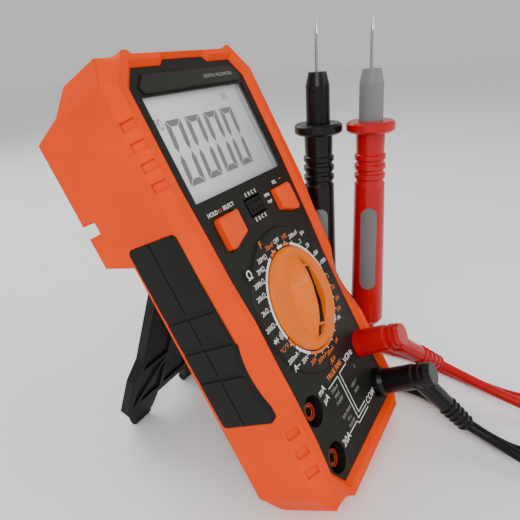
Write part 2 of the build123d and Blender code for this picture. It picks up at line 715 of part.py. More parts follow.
# ---- test leads: plugs ----
PIN_HIGH, PIN_LOW = 6.0, -20.0
RED_PLUG = [(3.8, -9), (5.8, -9), (5.8, 0.05), (6.6, 0.05), (6.2, 2.5), (5.9, 15), (5.0, 15.6), (5.0, 17),
            (5.7, 17.4), (5.7, 18.6), (5.0, 19), (5.0, 20), (5.5, 20.4), (5.0, 22.5), (0, 22.5),
            (0, PIN_HIGH), (1.95, PIN_HIGH), (1.95, 0.1), (3.8, 0.1)]
BLACK_PLUG = [(3.8, -9), (5.8, -9), (5.8, 0.05), (6.9, 0.05), (6.8, 3), (5.9, 5), (5.9, 19), (5.2, 19.6),
              (5.2, 21), (5.8, 21.4), (5.8, 22.8), (5.2, 23.2), (5.2, 24.6), (5.7, 25), (5.0, 28), (0, 28),
              (0, PIN_HIGH), (1.95, PIN_HIGH), (1.95, 0.1), (3.8, 0.1)]
LEADS = {
    "red": (JACKS["volt"], RED_PLUG, 14.0, (57, -75.85, 24)),
    "black": (JACKS["com"], BLACK_PLUG, 20.0, (31.4, -94.65, 12)),
}
BOOT_START, BOOT_END = 4.8, 3.5
for colour, ((x, y), profile, bend, tail_end) in LEADS.items():
    tail_start = place(x, y, bend)
    tail = Vector(*tail_end) - tail_start
    with BuildPart() as plug:
        with BuildSketch(side(x)):
            with BuildLine():
                Polyline(*[(y + r, z) for r, z in profile], close=True)
            make_face()
        revolve(axis=Axis(place(x, y, 0), FACE.z_dir))
        with BuildSketch(Plane(origin=tail_start, z_dir=tail)):
            Circle(BOOT_START)
        with BuildSketch(Plane(origin=Vector(*tail_end), z_dir=tail)):
            Circle(BOOT_END)
        loft()
    save(plug, f"{colour}_plug")
    with BuildPart() as plug_pin:
        with BuildSketch(face(PIN_LOW)):
            with Locations((x, y)):
                Circle(1.95)
        extrude(amount=PIN_HIGH - PIN_LOW)
    save(plug_pin, f"{colour}_plug_pin")

# ---- test leads: cable ----
RED_OUT = [(57, -75.85, 24), (60.3, -94.8, 15), (61, -114.8, 9), (61, -135.8, 4), (66, -153.8, 2.6),
           (78, -163.8, 2.6), (90, -153.8, 2.6), (86, -133.8, 2.6), (73, -117.8, 2.6), (77, -95.8, 2.6),
           (84, -74.8, 2.6), (90, -54.8, 2.6), (91, -35.8, 2.6), (94, -20, 2.6)]
RED_BACK = [(74.6, 4.5, 2.6), (71.4, -11, 2.6), (68.2, -24, 2.6), (67, -31, 6.4), (66.5, -34.3, 13),
            (66.5, -34.85, 24)]
BLACK_OUT = [(31.4, -94.65, 12), (30, -105.8, 9), (24.8, -118, 7.6), (22, -139.8, 3.5), (26, -157.8, 2.6),
             (40, -164.8, 2.6), (50, -153.8, 2.6), (45, -135.8, 2.6), (33, -119.8, 2.6), (37, -105.8, 2.6),
             (44, -93.8, 2.6), (55, -78, 2.6), (60, -60, 2.6), (56, -40, 2.6), (50.5, -18, 2.6),
             (50, 6, 2.6), (52, 28, 2.6), (51, 48, 2.6), (46, 64, 2.6)]
BLACK_BACK = [(72, 59.2, 2.6), (63.5, 54.5, 2.6), (60.5, 40, 2.6), (58.7, 24, 2.6), (57.6, 6, 2.6),
              (57.5, -4, 4), (57.5, -10.3, 10), (57.5, -11.85, 24)]
COILS = {"red": (102, 6.15), "black": (68, 86.15)}
PROBES = {"red": (66.5, -34.85), "black": (57.5, -11.85)}


def bends(points):
    """Radius for each inner corner of a route, as large as its shorter neighbouring run allows."""
    radii = []
    for before, corner, after in zip(points, points[1:], points[2:]):
        first, second = Vector(*corner) - Vector(*before), Vector(*after) - Vector(*corner)
        half_turn = radians(first.get_angle(second)) / 2
        radii.append(min(0.45 * min(first.length, second.length) / tan(half_turn), 120))
    return radii


for label, route in (("red_cable_out", RED_OUT), ("red_cable_back", RED_BACK),
                     ("black_cable_out", BLACK_OUT), ("black_cable_back", BLACK_BACK)):
    with BuildPart() as cable:
        with BuildLine() as lay:
            FilletPolyline(*route, radius=bends(route))
        with BuildSketch(Plane(origin=lay.line @ 0, z_dir=lay.line % 0)):
            Circle(CABLE_D / 2)
        sweep(path=lay.line)
    save(cable, label)

for colour, (x, y) in COILS.items():
    with BuildPart() as coil:
        with BuildSketch(Plane(origin=(x, y, 0), x_dir=(1, 0, 0), z_dir=(0, -1, 0))):
            with Locations((COIL_R, COIL_H / 2 + 0.05)):
                RectangleRounded(COIL_H, COIL_H, 3)
        revolve(axis=Axis((x, y, 0), (0, 0, 1)))
    save(coil, f"{colour}_cable_coil")

# ---- test leads: probes ----
HANDLE = (36.0, 8.6, 113.0, 7.4)       # low height and radius, high height and radius
LABEL_W, LABEL_LOW, LABEL_HIGH = 8.0, 58.0, 102.0
PROBE = [(0, 24), (3.4, 24), (3.7, 27), (3.3, 27.3), (3.3, 28.4), (4.1, 28.8), (4.1, 31), (3.6, 31.3),
         (3.6, 32.4), (4.6, 33), (4.8, 36), (7.2, 36), (8.6, 38), (7.4, 113), (6.7, 114), (6.7, 115.4),
         (7.5, 116), (7.5, 118), (6.7, 118.6), (6.7, 120), (7.5, 120.6), (7.5, 122.6), (6.7, 123.2),
         (6.7, 124.6), (7.5, 125.2), (7.5, 127.2), (6.7, 127.8), (6.9, 138), (10.4, 138), (11.5, 139),
         (11.5, 142), (10.4, 143), (0, 143)]
COLLAR = [(1.05, 143.02), (5.7, 143.02), (5.6, 160), (4.2, 166), (1.05, 166)]
NEEDLE = [(0, 143.05), (1.05, 143.05), (1.05, 182), (0.12, 188), (0, 188)]


def lathe(x, y, profile):
    """Turned piece standing upright at a spot of the floor."""
    with BuildPart() as piece:
        with BuildSketch(Plane(origin=(x, y, 0), x_dir=(1, 0, 0), z_dir=(0, -1, 0))):
            with BuildLine():
                Polyline(*profile, close=True)
            make_face()
        revolve(axis=Axis((x, y, 0), (0, 0, 1)))
    return piece


def handle_cone(x, y, grow):
    low, low_r, high, high_r = HANDLE
    return lathe(x, y, [(0, low), (low_r + grow, low), (high_r + grow, high), (0, high)])


EYE = (-167.1, -109.3)                 # where the labels face
for colour, (x, y) in PROBES.items():
    facing = Plane(origin=(x, y, (LABEL_LOW + LABEL_HIGH) / 2), x_dir=(EYE[1] - y, x - EYE[0], 0),
                   z_dir=(EYE[0] - x, EYE[1] - y, 0))
    with BuildPart() as label_block:
        with BuildSketch(facing):
            SlotOverall(LABEL_HIGH - LABEL_LOW, LABEL_W, rotation=90)
        extrude(amount=15)
    with BuildPart() as probe:
        add(lathe(x, y, PROBE).part)
        with BuildPart(mode=Mode.PRIVATE) as recess:
            add(label_block.part)
            add(handle_cone(x, y, -0.7).part, mode=Mode.SUBTRACT)
        add(recess.part, mode=Mode.SUBTRACT)
    save(probe, f"{colour}_probe")
    with BuildPart() as probe_label:
        add(handle_cone(x, y, 0.1).part)
        add(label_block.part, mode=Mode.INTERSECT)
        add(handle_cone(x, y, -0.65).part, mode=Mode.SUBTRACT)
    save(probe_label, f"{colour}_probe_label")
    save(lathe(x, y, COLLAR), f"{colour}_probe_collar")
    save(lathe(x, y, NEEDLE), f"{colour}_probe_tip")
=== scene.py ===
"""Digital multimeter in a rubber holster: finishes, prints, display and test leads.

Every size is given in millimetres on the meter's own face (x across, y along the meter, z out of the
front panel, origin at the dial) or, for the leads, in the row's frame.
"""
import json
from math import cos, radians, sin

import bmesh
import bpy
from mathutils import Euler, Matrix, Vector


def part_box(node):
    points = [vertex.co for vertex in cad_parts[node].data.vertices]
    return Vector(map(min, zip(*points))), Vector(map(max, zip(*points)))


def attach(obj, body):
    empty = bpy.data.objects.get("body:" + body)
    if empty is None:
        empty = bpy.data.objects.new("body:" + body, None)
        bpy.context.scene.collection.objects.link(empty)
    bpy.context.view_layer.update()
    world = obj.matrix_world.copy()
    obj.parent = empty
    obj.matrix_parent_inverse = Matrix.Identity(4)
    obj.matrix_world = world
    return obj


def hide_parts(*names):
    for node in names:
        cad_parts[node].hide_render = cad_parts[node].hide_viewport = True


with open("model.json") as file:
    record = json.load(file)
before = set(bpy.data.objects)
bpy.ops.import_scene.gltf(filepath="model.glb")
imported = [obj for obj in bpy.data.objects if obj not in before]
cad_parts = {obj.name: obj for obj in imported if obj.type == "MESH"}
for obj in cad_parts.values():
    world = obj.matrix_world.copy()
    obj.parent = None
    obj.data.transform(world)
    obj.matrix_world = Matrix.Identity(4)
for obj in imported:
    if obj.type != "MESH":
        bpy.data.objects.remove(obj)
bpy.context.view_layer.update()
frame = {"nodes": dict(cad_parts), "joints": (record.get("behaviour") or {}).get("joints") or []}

bl_info = {
    "name": "Digital multimeter",
    "version": (1, 0, 0),
    "blender": (4, 5, 0),
    "location": "View3D > Sidebar > Multimeter",
    "description": "Finishes, prints, display and test leads of a handheld digital multimeter",
    "category": "Object",
}

MM = 0.001
NODES = frame["nodes"]
JOINTS = {joint["name"]: joint for joint in frame["joints"]}

# ---- the meter's face ----
DIAL = JOINTS["dial_turn"]
FACE_OUT = Vector(DIAL["axis"]).normalized()
FACE_ACROSS = Vector((1, 0, 0))
FACE_UP = FACE_OUT.cross(FACE_ACROSS)
FACE = Matrix.Translation(DIAL["pos_m"]) @ Matrix(
    (FACE_ACROSS, FACE_UP, FACE_OUT)).transposed().to_4x4() @ Matrix.Scale(MM, 4)
PANEL, PLATEAU, LCD_TOP, PLATE_TOP = 0.0, 1.1, -2.7, 1.12
INK_T = 0.06                            # thickness of a print
ARC_STEP = 4                            # degrees to a straight piece of a printed ring
MERGE = 0.001                           # a print's corners this close are one corner


# ---------------------------------------------------------------- finishes

def linear(hex_colour):
    """An sRGB hex colour as linear red, green and blue."""
    parts = [int(hex_colour[i:i + 2], 16) / 255 for i in (1, 3, 5)]
    return tuple(c / 12.92 if c <= 0.04045 else ((c + 0.055) / 1.055) ** 2.4 for c in parts) + (1.0,)


def add_node(tree, kind, settings=None, **inputs):
    """Adds a node; settings go to its properties, inputs to its sockets as values or links."""
    node = tree.nodes.new(kind)
    for name, value in (settings or {}).items():
        setattr(node, name, value)
    for name, value in inputs.items():
        socket = node.inputs[int(name[1:])] if name[1:].isdigit() else node.inputs[name.replace("_", " ")]
        if isinstance(value, bpy.types.NodeSocket):
            tree.links.new(value, socket)
        else:
            socket.default_value = value
    return node


def start_material(name):
    material = bpy.data.materials.new(name)
    material.use_nodes = True
    tree = material.node_tree
    tree.nodes.clear()
    place = tree.nodes.new("ShaderNodeTexCoord").outputs["Object"]
    return material, tree, place


def end_material(material, tree, shader, hex_colour):
    add_node(tree, "ShaderNodeOutputMaterial", Surface=shader.outputs["BSDF"])
    material.diffuse_color = linear(hex_colour)
    return material


def moulded(name, colour, rough, grain=0.5, depth=0.02, edge=0.4, shine=0.2, coat=0.0, worn=None):
    """Injection-moulded plastic or rubber.  A spark-eroded mould leaves a grain of that many
    millimetres, and the mould's polish varies slowly, so the gloss does too."""
    material, tree, place = start_material(name)
    cloudy = add_node(tree, "ShaderNodeTexNoise", Vector=place, Scale=1 / (22 * MM), Detail=3.0)
    fine = add_node(tree, "ShaderNodeTexNoise", Vector=place, Scale=1 / (grain * MM), Detail=2.0)
    shade = add_node(tree, "ShaderNodeMapRange", i0=cloudy.outputs["Fac"], i1=0.3, i2=0.7, i3=0.93, i4=1.06)
    tint = add_node(tree, "ShaderNodeHueSaturation", Color=linear(colour), Value=shade.outputs[0])
    polish = add_node(tree, "ShaderNodeMapRange", i0=cloudy.outputs["Fac"], i1=0.25, i2=0.75,
                      i3=rough - 0.05, i4=rough + 0.06)
    rounded = add_node(tree, "ShaderNodeBevel", {"samples": 4}, Radius=edge * MM)
    bump = add_node(tree, "ShaderNodeBump", Strength=0.35, Distance=depth * MM,
                    Height=fine.outputs["Fac"], Normal=rounded.outputs["Normal"])
    base = tint.outputs["Color"]
    if worn:
        rub = add_node(tree, "ShaderNodeMapRange", i0=fine.outputs["Fac"], i1=0.62, i2=0.8, i3=0.0, i4=0.35)
        base = add_node(tree, "ShaderNodeMix", {"data_type": "RGBA"}, i0=rub.outputs[0], i6=base,
                        i7=linear(worn)).outputs[2]
    shader = add_node(tree, "ShaderNodeBsdfPrincipled", Base_Color=base, Roughness=polish.outputs[0],
                      Specular_IOR_Level=shine, Normal=bump.outputs["Normal"], Coat_Weight=coat)
    return end_material(material, tree, shader, colour)


def metal(name, colour, rough, streak=0.25, edge=0.15):
    """Turned, drawn or plated metal.  Tool marks a fraction of a millimetre apart vary its gloss."""
    material, tree, place = start_material(name)
    marks = add_node(tree, "ShaderNodeTexNoise", Vector=place, Scale=1 / (streak * MM), Detail=2.0)
    gloss = add_node(tree, "ShaderNodeMapRange", i0=marks.outputs["Fac"], i1=0.3, i2=0.7,
                     i3=rough * 0.8, i4=rough * 1.3)
    rounded = add_node(tree, "ShaderNodeBevel", {"samples": 4}, Radius=edge * MM)
    bump = add_node(tree, "ShaderNodeBump", Strength=0.2, Distance=0.01 * MM,
                    Height=marks.outputs["Fac"], Normal=rounded.outputs["Normal"])
    shader = add_node(tree, "ShaderNodeBsdfPrincipled", Base_Color=linear(colour), Metallic=1.0,
                      Roughness=gloss.outputs[0], Normal=bump.outputs["Normal"])
    return end_material(material, tree, shader, colour)


def acrylic(name, colour, alpha):
    """Clear moulded acrylic or glass: nearly all light passes, the rest is a faint reflection."""
    material, tree, place = start_material(name)
    dust = add_node(tree, "ShaderNodeTexNoise", Vector=place, Scale=1 / (9 * MM), Detail=4.0)
    haze = add_node(tree, "ShaderNodeMapRange", i0=dust.outputs["Fac"], i1=0.3, i2=0.8, i3=0.03, i4=0.1)
    shader = add_node(tree, "ShaderNodeBsdfPrincipled", Base_Color=linear(colour),
                      Roughness=haze.outputs[0], IOR=1.49, Alpha=alpha)
    return end_material(material, tree, shader, colour)


def display_glass(name, lit, shaded):
    """Liquid-crystal cell over a silvered reflector: a fine sparkle, and painted shade that deepens slowly
    from its upper left to its lower right corner, mixing its lit colour into its shaded one."""
    material, tree, place = start_material(name)
    low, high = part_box("lcd_glass")
    turn = add_node(tree, "ShaderNodeSeparateXYZ", Vector=place)
    # painted shade: more of the shaded colour towards the display's right and towards its bottom
    painted_shade_across = add_node(tree, "ShaderNodeMapRange", i0=turn.outputs["X"], i1=low.x, i2=high.x, i3=0.0, i4=0.75)
    painted_shade_down = add_node(tree, "ShaderNodeMapRange", i0=turn.outputs["Z"], i1=low.z, i2=high.z, i3=0.3, i4=0.0)
    both = add_node(tree, "ShaderNodeMath", {"operation": "ADD"}, i0=painted_shade_across.outputs[0], i1=painted_shade_down.outputs[0])
    sparkle = add_node(tree, "ShaderNodeTexNoise", Vector=place, Scale=1 / (0.45 * MM), Detail=1.0)
    painted_shade_colour = add_node(tree, "ShaderNodeMix", {"data_type": "RGBA"}, i0=both.outputs[0],
                     i6=linear(lit), i7=linear(shaded))
    value = add_node(tree, "ShaderNodeMapRange", i0=sparkle.outputs["Fac"], i1=0.3, i2=0.7,
                     i3=0.96, i4=1.04)
    base = add_node(tree, "ShaderNodeHueSaturation", Color=painted_shade_colour.outputs[2], Value=value.outputs[0])
    shader = add_node(tree, "ShaderNodeBsdfPrincipled", Base_Color=base.outputs["Color"], Roughness=0.32)
    return end_material(material, tree, shader, lit)


def circuit_board(name, mask, track):
    """Green solder mask on glass fibre, with copper tracks about a millimetre wide under it."""
    material, tree, place = start_material(name)
    tracks = add_node(tree, "ShaderNodeTexVoronoi", {"distance": "MANHATTAN"}, Vector=place,
                      Scale=1 / (4 * MM))
    wide = add_node(tree, "ShaderNodeMapRange", i0=tracks.outputs["Distance"], i1=0.3, i2=0.34,
                    i3=0.0, i4=1.0)
    base = add_node(tree, "ShaderNodeMix", {"data_type": "RGBA"}, i0=wide.outputs[0],
                    i6=linear(mask), i7=linear(track))
    shader = add_node(tree, "ShaderNodeBsdfPrincipled", Base_Color=base.outputs[2], Roughness=0.3)
    return end_material(material, tree, shader, mask)


def ink(name, colour, rough=0.45):
    """Silk-screened ink: opaque, slightly uneven where the mesh of the screen laid it down."""
    material, tree, place = start_material(name)
    screen = add_node(tree, "ShaderNodeTexNoise", Vector=place, Scale=1 / (0.3 * MM), Detail=1.0)
    shade = add_node(tree, "ShaderNodeMapRange", i0=screen.outputs["Fac"], i1=0.3, i2=0.7, i3=0.88, i4=1.04)
    base = add_node(tree, "ShaderNodeHueSaturation", Color=linear(colour), Value=shade.outputs[0])
    shader = add_node(tree, "ShaderNodeBsdfPrincipled", Base_Color=base.outputs["Color"], Roughness=rough)
    return end_material(material, tree, shader, colour)


FINISHES = {}


def make_finishes(colours):
    """All materials of the meter and its leads, each named for the stuff that it is."""
    mouldings = (
        # soft thermoplastic rubber, the brightest colour, with a satin bloom
        ("holster_tpe", colours.holster, 0.55, dict(grain=0.7, depth=0.05, edge=0.9, shine=0.08)),
        # harder nitrile-like rubber, nearly black and dull
        ("grip_rubber", colours.grip, 0.62, dict(grain=0.6, depth=0.06, edge=0.4, worn="#22221E")),
        # glass-filled ABS with a fine texture, charcoal with a green cast
        ("panel_abs", colours.panel, 0.48, dict(grain=0.5, depth=0.03, edge=0.5)),
        ("shell_abs", "#161614", 0.52, dict(grain=0.5, depth=0.04, edge=0.4)),
        ("plate_pvc", "#24251F", 0.42, dict(grain=0.3, depth=0.01, edge=0.3)),
        ("knob_abs", colours.knob, 0.36, dict(grain=0.4, depth=0.008, edge=0.7, coat=0.1)),
        ("button_silicone", colours.button, 0.42, dict(grain=0.5, depth=0.01, edge=0.9)),
        ("inlay_pvc", "#0C0C0B", 0.4, dict(grain=0.4, depth=0.01, edge=0.1)),
        ("stand_abs", "#0F1211", 0.55, dict(grain=0.5, depth=0.05, edge=0.5)),
        ("black_nylon", "#0C0C0B", 0.5, dict(grain=0.4, depth=0.02, edge=0.2)),
        ("white_abs", "#DADAD6", 0.45, dict(grain=0.4, depth=0.01, edge=0.2)),
        ("natural_acetal", "#D2D0C8", 0.4, dict(grain=0.4, depth=0.01, edge=0.3)),
        ("zebra_rubber", "#5A5A57", 0.7, dict(grain=0.3, depth=0.02, edge=0.1)),
        ("collar_red_abs", "#8E0A06", 0.35, dict(grain=0.4, depth=0.01, edge=0.2)),
        ("lead_red_pvc", colours.red, 0.30, dict(grain=0.6, depth=0.01, edge=0.5, coat=0.25)),
        ("lead_black_pvc", colours.black, 0.34, dict(grain=0.6, depth=0.01, edge=0.5, coat=0.15)),
        ("cable_red_silicone", colours.red, 0.36, dict(grain=0.5, depth=0.01, edge=0.1)),
        ("cable_black_silicone", colours.black, 0.4, dict(grain=0.5, depth=0.01, edge=0.1)),
        ("collar_grey_pvc", "#77787A", 0.38, dict(grain=0.4, depth=0.01, edge=0.3)),
        ("label_grey_print", "#6E6F70", 0.42, dict(grain=0.3, depth=0.006, edge=0.2)),
        ("battery_jacket", "#20222A", 0.3, dict(grain=0.4, depth=0.01, edge=0.3)),
    )
    for name, colour, rough, surface in mouldings:
        FINISHES[name] = moulded(name, colour, rough, **surface)
    FINISHES.update(
        acrylic_window=acrylic("acrylic_window", "#F4F7F7", 0.06),
        fuse_glass=acrylic("fuse_glass", "#E6ECEA", 0.5),
        # the display's lit colour, then its colour in painted shade
        display_glass=display_glass("display_glass", "#E8EAE9", "#AEB0B0"),
        solder_mask=circuit_board("solder_mask", "#12502A", "#1F7040"),
        turned_brass=metal("turned_brass", "#C9A35A", 0.28),
        manganin_wire=metal("manganin_wire", "#B98560", 0.32),
        nickel_plate=metal("nickel_plate", "#C9C6BC", 0.25),
        zinc_plate=metal("zinc_plate", "#B4B6B6", 0.35),
        needle_steel=metal("needle_steel", "#C4C4C6", 0.18, streak=0.4),
        ink_white=ink("ink_white", "#E9EAE6"),
        ink_grey=ink("ink_grey", "#8D8E88"),
        ink_orange=ink("ink_orange", "#E06A10"),
        segment_dark=ink("segment_dark", colours.segment, 0.35),
        segment_faint=ink("segment_faint", "#7E8080", 0.35),
    )


NODE_FINISH = {
    "holster": "holster_tpe", "left_grip": "grip_rubber", "right_grip": "grip_rubber",
    "front_case": "panel_abs", "rear_case": "shell_abs", "name_plate": "plate_pvc",
    "lcd_window": "acrylic_window", "lcd_frame": "white_abs", "lcd_glass": "display_glass",
    "backlight": "white_abs", "contact_strips": "zebra_rubber", "main_board": "solder_mask",
    "transistor_socket": "black_nylon", "jack_collars": "collar_red_abs", "shunt_wire": "manganin_wire",
    "jack_socket_ma": "turned_brass", "jack_socket_20a": "turned_brass", "jack_socket_volt": "turned_brass",
    "jack_socket_com": "turned_brass", "fuse_ma": "fuse_glass", "fuse_20a": "fuse_glass",
    "fuse_clips": "nickel_plate", "battery": "battery_jacket", "battery_snap": "black_nylon",
    "battery_cover": "shell_abs", "battery_screw": "zinc_plate", "buzzer": "black_nylon",
    "button_switches": "black_nylon", "case_screws": "zinc_plate", "board_screws": "zinc_plate",
    "hinge_pins": "needle_steel", "range_knob": "knob_abs", "knob_inlay": "inlay_pvc",
    "knob_rotor": "natural_acetal", "rotor_contacts": "nickel_plate", "detent_balls": "needle_steel",
    "hold_button": "button_silicone", "select_button": "button_silicone", "rear_stand": "stand_abs",
    "stand_pads": "grip_rubber", "red_plug": "lead_red_pvc", "black_plug": "lead_black_pvc",
    "red_plug_pin": "nickel_plate", "black_plug_pin": "nickel_plate", "red_probe": "lead_red_pvc",
    "black_probe": "lead_black_pvc", "red_probe_label": "label_grey_print",
    "black_probe_label": "label_grey_print", "red_probe_collar": "collar_grey_pvc",
    "black_probe_collar": "lead_black_pvc", "red_probe_tip": "needle_steel",
    "black_probe_tip": "needle_steel",
}


# ---------------------------------------------------------------- mesh helpers

def new_piece(name, mesh, finish, body):
    piece = bpy.data.objects.new(name, mesh)
    bpy.context.scene.collection.objects.link(piece)
    piece.data.materials.clear()
    piece.data.materials.append(FINISHES[finish])
    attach(piece, body)
    return piece


class Print:
    """Flat artwork gathered on the meter's face: letters, ribbons and filled outlines."""

    def __init__(self):
        self.shape = bmesh.new()

    def slab(self, outline, height, thick=INK_T):
        """Closed thin slab over an outline listed anticlockwise."""
        low = [self.shape.verts.new((x, y, height)) for x, y in outline]
        high = [self.shape.verts.new((x, y, height + thick)) for x, y in outline]
        self.shape.faces.new(high)
        self.shape.faces.new(low[::-1])
        for i in range(len(outline)):
            j = (i + 1) % len(outline)
            self.shape.faces.new((low[i], low[j], high[j], high[i]))

    def ribbon(self, points, width, height):
        for (x0, y0), (x1, y1) in zip(points, points[1:]):
            run = Vector((x1 - x0, y1 - y0)).normalized() * width / 2
            across = Vector((-run.y, run.x))
            ends = Vector((x0, y0)) - run, Vector((x1, y1)) + run
            self.slab([ends[0] - across, ends[1] - across, ends[1] + across, ends[0] + across], height)

    def arc(self, start, end, inner, outer, height):
        """Part of a flat ring between two angles in degrees."""
        steps = max(2, round((end - start) / ARC_STEP))
        angles = [radians(start + (end - start) * i / steps) for i in range(steps + 1)]
        rim = [(outer * cos(a), outer * sin(a)) for a in angles]
        self.slab(rim + [(inner * cos(a), inner * sin(a)) for a in reversed(angles)], height)

    def words(self, text, x, y, size, height, slant=0.0, narrow=1.0, bold=0.0):
        curve = bpy.data.curves.new("letters", "FONT")
        curve.body, curve.size, curve.shear, curve.extrude = text, size, slant, INK_T / 2
        curve.align_x, curve.align_y, curve.offset = "CENTER", "CENTER", bold
        curve.resolution_u = 3
        letters = bpy.data.objects.new("letters", curve)
        bpy.context.scene.collection.objects.link(letters)
        bpy.context.view_layer.update()
        mesh = bpy.data.meshes.new_from_object(letters.evaluated_get(bpy.context.evaluated_depsgraph_get()))
        mesh.transform(Matrix.Translation((x, y, height + INK_T / 2)) @ Matrix.Diagonal((narrow, 1, 1, 1)))
        self.shape.from_mesh(mesh)
        bpy.data.objects.remove(letters)
        bpy.data.curves.remove(curve)
        bpy.data.meshes.remove(mesh)

    def finish(self, name, finish, body="meter"):
        bmesh.ops.remove_doubles(self.shape, verts=self.shape.verts, dist=MERGE)
        mesh = bpy.data.meshes.new(name)
        self.shape.to_mesh(mesh)
        self.shape.free()
        mesh.transform(FACE)
        return new_piece(name, mesh, finish, body)


# ---------------------------------------------------------------- geometry nodes

def start_tree(name, sizes):
    """Node tree with one float input for each named size, in metres."""
    tree = bpy.data.node_groups.new(name, "GeometryNodeTree")
    for size in sizes:
        tree.interface.new_socket(size, in_out="INPUT", socket_type="NodeSocketFloat")
    tree.interface.new_socket("Material", in_out="INPUT", socket_type="NodeSocketMaterial")
    tree.interface.new_socket("Geometry", in_out="OUTPUT", socket_type="NodeSocketGeometry")
    return tree, tree.nodes.new("NodeGroupInput").outputs


def end_tree(tree, given, instances):
    """Instances turned to real mesh, then painted."""
    real = add_node(tree, "GeometryNodeRealizeInstances", Geometry=instances)
    painted = add_node(tree, "GeometryNodeSetMaterial", Geometry=real.outputs[0], Material=given["Material"])
    add_node(tree, "NodeGroupOutput", Geometry=painted.outputs[0])
    return tree


def dial_tick_tree():
    """Short printed bars standing round a circle, one for each switch position."""
    tree, given = start_tree("Dial ticks", ("Radius", "Length", "Width", "Thickness", "Count"))
    count = add_node(tree, "FunctionNodeFloatToInt", Float=given["Count"])
    circle = add_node(tree, "GeometryNodeMeshCircle", Vertices=count.outputs[0], Radius=given["Radius"])
    size = add_node(tree, "ShaderNodeCombineXYZ", X=given["Length"], Y=given["Width"], Z=given["Thickness"])
    bar = add_node(tree, "GeometryNodeMeshCube", Size=size.outputs[0])
    spot = tree.nodes.new("GeometryNodeInputPosition")
    aim = add_node(tree, "FunctionNodeAlignEulerToVector", {"axis": "X"}, Vector=spot.outputs[0])
    bars = add_node(tree, "GeometryNodeInstanceOnPoints", Points=circle.outputs[0], Instance=bar.outputs[0],
                    Rotation=aim.outputs[0])
    return end_tree(tree, given, bars.outputs["Instances"])


def boot_rib_tree():
    """Round ribs threaded on a straight line, getting smaller towards its end."""
    tree, given = start_tree("Boot ribs", ("Reach", "First radius", "Last radius", "Thickness", "Count"))
    end = add_node(tree, "ShaderNodeCombineXYZ", Z=given["Reach"])
    line = add_node(tree, "GeometryNodeCurvePrimitiveLine", End=end.outputs[0])
    count = add_node(tree, "FunctionNodeFloatToInt", Float=given["Count"])
    points = add_node(tree, "GeometryNodeCurveToPoints", Curve=line.outputs[0], Count=count.outputs[0])
    ring = add_node(tree, "GeometryNodeCurvePrimitiveCircle", Resolution=28, Radius=1.0)
    slim = add_node(tree, "ShaderNodeMath", {"operation": "DIVIDE"}, i0=given["Thickness"],
                    i1=given["First radius"])
    section = add_node(tree, "GeometryNodeCurvePrimitiveCircle", Resolution=8, Radius=slim.outputs[0])
    torus = add_node(tree, "GeometryNodeCurveToMesh", Curve=ring.outputs[0], Profile_Curve=section.outputs[0])
    number = tree.nodes.new("GeometryNodeInputIndex")
    last = add_node(tree, "ShaderNodeMath", {"operation": "SUBTRACT"}, i0=given["Count"], i1=1.0)
    scale = add_node(tree, "ShaderNodeMapRange", i0=number.outputs[0], i1=0.0, i2=last.outputs[0],
                     i3=given["First radius"], i4=given["Last radius"])
    ribs = add_node(tree, "GeometryNodeInstanceOnPoints", Points=points.outputs["Points"],
                    Instance=torus.outputs[0], Scale=scale.outputs[0])
    return end_tree(tree, given, ribs.outputs["Instances"])


def grown(name, tree, finish, place, body, **sizes):
    """Piece made by a node tree with the sizes given, then kept as a plain mesh at its place."""
    host = bpy.data.objects.new(name, bpy.data.meshes.new(name + "_seed"))
    bpy.context.scene.collection.objects.link(host)
    modifier = host.modifiers.new("Grow", "NODES")
    modifier.node_group = tree
    sockets = {item.name: item.identifier for item in tree.interface.items_tree if item.in_out == "INPUT"}
    for size, value in sizes.items():
        modifier[sockets[size.replace("_", " ")]] = value
    modifier[sockets["Material"]] = FINISHES[finish]
    bpy.context.view_layer.update()
    mesh = bpy.data.meshes.new_from_object(host.evaluated_get(bpy.context.evaluated_depsgraph_get()))
    host.modifiers.clear()
    bpy.data.objects.remove(host)
    mesh.transform(place)
    return new_piece(name, mesh, finish, body)


# ---------------------------------------------------------------- leads

CABLE_D = 4.8
COIL_R, COIL_LOW = 27.5, 2.6             # a coil's mean radius, and its lower layer above the floor
TURN_POINTS = 14
CLIMB = 0.3                             # the part of a turn in which the cable moves to its next layer

# "out" runs from the plug to the coil, and "back" from the coil into the probe; the coil begins at
# the angle "from" and turns through "sweep" degrees, anticlockwise where "way" is 1
LEADS = {
    "red": {
        "out": [(57, -75.85, 24), (60.3, -94.8, 15), (61, -114.8, 9), (61, -135.8, 4), (66, -153.8, 2.6),
                (78, -163.8, 2.6), (90, -153.8, 2.6), (86, -133.8, 2.6), (73, -117.8, 2.6),
                (77, -95.8, 2.6), (84, -74.8, 2.6), (90, -54.8, 2.6), (90.5, -38, 2.6), (93.5, -27.5, 2.6)],
        "coil": (102, 6.15), "from": -97, "sweep": 1357, "way": 1,
        "back": [(71.4, -11, 4), (68.2, -24, 2.7), (67, -31, 6.4), (66.5, -34.3, 13), (66.5, -34.85, 24)],
    },
    "black": {
        "out": [(31.4, -94.65, 12), (30, -105.8, 9), (24.8, -118, 7.6), (22, -139.8, 3.5), (26, -157.8, 2.6),
                (40, -164.8, 2.6), (50, -153.8, 2.6), (45, -135.8, 2.6), (33, -119.8, 2.6),
                (37, -105.8, 2.6), (44, -93.8, 2.6), (55, -78, 2.6), (60, -60, 2.6), (56, -40, 2.6),
                (50.5, -18, 2.6), (50, 6, 2.6), (52, 28, 2.6), (51, 48, 2.6), (45, 62, 2.6)],
        "coil": (68, 86.15), "from": 206, "sweep": 1376, "way": -1,
        "back": [(63.5, 54.5, 4.5), (60.5, 40, 2.6), (58.7, 24, 2.6), (57.6, 6, 2.6), (57.5, -4, 4),
                 (57.5, -10.3, 10), (57.5, -11.85, 24)],
    },
}


